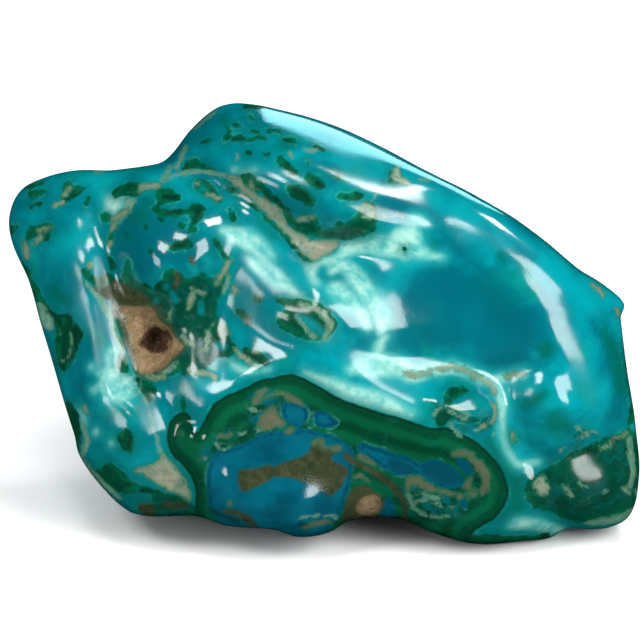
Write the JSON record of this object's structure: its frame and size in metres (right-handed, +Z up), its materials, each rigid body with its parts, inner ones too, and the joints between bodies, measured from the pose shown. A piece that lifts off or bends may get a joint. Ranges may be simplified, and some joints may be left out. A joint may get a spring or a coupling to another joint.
{
  "type": "chrysocolla specimen",
  "caption": "Polished freeform chrysocolla stone with rounded lobes, ridges, grooves and a small pit, ground flat underneath so that it stands with its show face leaning back.",
  "frame": {"origin": "centre of the bounding box in plan, on the surface that the stone stands on", "axes": "+X to the right along the stone's length as seen from its show face, +Y away from the viewer, +Z up"},
  "size_m": [0.0788, 0.0466, 0.0499],
  "materials": {
    "polished_chrysocolla": "high gloss polish, mottled turquoise, blue, dark green and tan"
  },
  "bodies": {
    "root": {"stone": "polished_chrysocolla"}
  },
  "joints": []
}
